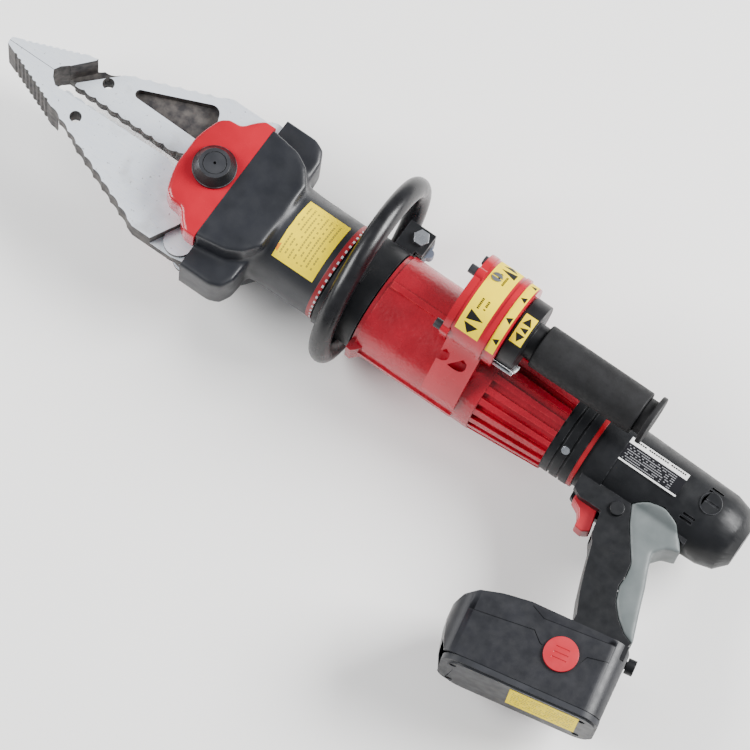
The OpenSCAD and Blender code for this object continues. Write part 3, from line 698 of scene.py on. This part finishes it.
def grip_rim(x, y, z):
    """The long rims of the pistol grip's two broad sides, clear of the trigger and the button."""
    near_button = math.hypot(x - cross_button[0], y - cross_button[1]) <= 8
    return abs(abs(z) - grip_half_width) < 0.1 and (y > 66 or x > -400) and not near_button


for side in ("upper", "lower"):
    shell = machined_copy("motor_shell_" + side, "drive_shell_" + side, 0.7, 3, rounding=(grip_rim, 5.0))
    stand_for(shell, shell_black, "motor_shell_" + side)
iron = surface("laminated_iron", (0.07, 0.07, 0.075), (0.14, 0.14, 0.15), 0.5, 0.8,
               grain=900.0, stretch=(8, 1, 1))
copper = surface("wound_copper", (0.42, 0.17, 0.06), (0.60, 0.28, 0.12), 0.32, 1.0,
                 grain=500.0, stretch=(1, 9, 9))
coat_node(iron, "motor_stator", "gearbox")
coat_node(copper, "motor_rotor")
coat_node(shell_black, "motor_fan", "switch_unit")
stand_for(machined_copy("brush_caps", "round_brush_caps", 0.5), cap_black, "brush_caps")


def plate_print(tree, along, down):
    """A black field with grey bars, and a heading of black bars on the light edge."""
    dark = between(tree, along, 0.28, 0.94)
    text = rows_of_bars(tree, down, along, 12, 30, 0.04, 0.86, 0.31, 0.90)
    head_line = rows_of_bars(tree, down, along, 5, 26, 0.05, 0.95, 0.05, 0.24)
    return [((0.012, 0.012, 0.014), dark), ((0.22, 0.22, 0.23), text), (ink_black, head_line)]


stick(wrap("rating_film", 391.8, 446, 34.5, 64, 102),
      film_finish("rating_print", (0.72, 0.72, 0.71), plate_print), "tool")

# The back of the pistol grip is overmoulded in soft grey-green rubber. The trigger slides straight
# back, and a cross button above it sets the direction.
overmould = surface("soft_grey_rubber", (0.085, 0.100, 0.100), (0.115, 0.130, 0.130), 0.50, 0.0,
                    mottle=50.0, grain=1500.0, depth=0.00004)
soft_grip = machined_copy("grip_overmould", "soft_grip_overmould", 0.0)
soft_grip = cast([soft_grip], "soft_grip_overmould", 1.0, 40)
shade(60)
stand_for(soft_grip, overmould, "grip_overmould")
trigger_red = surface("trigger_red", (0.38, 0.012, 0.022), (0.46, 0.02, 0.032), 0.36)
stand_for(machined_copy("trigger", "finger_trigger", 1.4, 3), trigger_red, "trigger")
stand_for(machined_copy("direction_button", "direction_cross_button", 0.8, 3), shell_black,
          "direction_button")

# The battery is a tall slide-on pack: a dark grey moulded case over fifteen cells, a screwed base
# with a yellow film, and a ribbed red release button in each side.
pack_grey = surface("pack_grey", (0.008, 0.0085, 0.011), (0.013, 0.0135, 0.017), 0.40, 0.0,
                    mottle=60.0, grain=1700.0, depth=0.00004, shine=0.45)
base_grey = surface("base_grey", (0.016, 0.017, 0.020), (0.026, 0.027, 0.032), 0.46, 0.0, shine=0.3)
cell_blue = surface("cell_sleeve", (0.03, 0.09, 0.22), (0.05, 0.13, 0.28), 0.25)


pack_half_width = 36
release_button = (-443.8, 164.3)
pack_origin = (-428, 172)
pack_turn = math.radians(11)


def pack_rim(x, y, z):
    """The outer rims of the pack's two broad sides, away from the round release buttons."""
    near_button = math.hypot(x - release_button[0], y - release_button[1]) <= 16
    return abs(z) > pack_half_width - 0.1 and not near_button


def on_pack(along, down, z):
    """A place in the pack's own frame, which is turned on the grip."""
    return at(pack_origin[0] + along * math.cos(pack_turn) - down * math.sin(pack_turn),
              pack_origin[1] + along * math.sin(pack_turn) + down * math.cos(pack_turn), z)


def seam_cutter(path, width, low, high):
    """A thin upright blade that follows a line drawn on the pack's broad side."""
    ahead = [(a[0] - b[0], a[1] - b[1]) for a, b in zip(path[1:] + path[-1:], path[:1] + path[:-1])]
    blades = []
    for side in (1, -1):
        line = []
        for (along, down), (run, fall) in zip(path, ahead):
            size = math.hypot(run, fall)
            line.append((along - side * fall / size * width / 2, down + side * run / size * width / 2))
        blades.append(line)
    plan = []
    for along, down in blades[0] + blades[1][::-1]:
        spot = from_pivot(on_pack(along, down, 0))
        plan.append((spot.x, spot.y))
    return prism(plan, low, high)


case = machined_copy("battery_case", "pack_case", 0.5, 2, 28.0, rounding=(pack_rim, 5.0))
case_seam = [(69.0, -8.5), (9.0, -14.0), (1.5, -6.5), (-1.0, -5.5)]
button_seam = [(-33.0, -4.5), (-36.5, -11.0), (-60.0, -15.0)]
lid_seam = [(17.5, -31.5), (6.0, -25.5), (-60.0, -28.5)]
seam_floor, seam_top = pack_half_width - 0.7, pack_half_width + 1
for path in (case_seam, button_seam, lid_seam):
    for low, high in ((seam_floor, seam_top), (-seam_top, -seam_floor)):
        hollow(case, seam_cutter(path, 0.8, low, high))
pick(case)
shade(38)
shape_with(case, "WEIGHTED_NORMAL", keep_sharp=True)
stand_for(case, pack_grey, "battery_case")
stand_for(machined_copy("battery_base", "pack_base", 0.9, 3), base_grey, "battery_base")
coat_node(cell_blue, "battery_cells")
coat_node(bright_steel, "battery_screws")
film_length, film_width = 58, 46
bpy.ops.object.select_all(action="DESELECT")
bpy.ops.mesh.primitive_grid_add(x_subdivisions=2, y_subdivisions=2, size=1.0)
base_film = bpy.context.object
base_film.name = "pack_film"
if not base_film.data.uv_layers:
    base_film.data.uv_layers.new(name="UVMap")
corners = {}
for vertex in base_film.data.vertices:
    along, down = corners[vertex.index] = (vertex.co.x + 0.5, vertex.co.y + 0.5)
    vertex.co = on_pack(-50 + film_length * along, 34.6, 28 - film_width * down)
for loop in base_film.data.loops:
    base_film.data.uv_layers.active.data[loop.index].uv = corners[loop.vertex_index]
bpy.ops.object.mode_set(mode="EDIT")
bpy.ops.mesh.select_all(action="SELECT")
bpy.ops.mesh.normals_make_consistent(inside=False)
bpy.ops.object.mode_set(mode="OBJECT")
outward = 1.0 if base_film.data.polygons[0].normal.y > 0 else -1.0
shape_with(base_film, "SOLIDIFY", thickness=film_thickness, offset=outward)


def pack_print(tree, along, down):
    text = rows_of_bars(tree, along, down, 9, 26, 0.05, 0.95, 0.1, 0.9)
    return [(ink_grey, calc(tree, "MULTIPLY", text, 0.7))]


stick(base_film, film_finish("pack_film_print", yellow, pack_print), "battery")
for side in ("upper", "lower"):
    stand_for(machined_copy("release_button_" + side, "pack_release_" + side, 0.6, 3), trigger_red,
              "release_button_" + side)
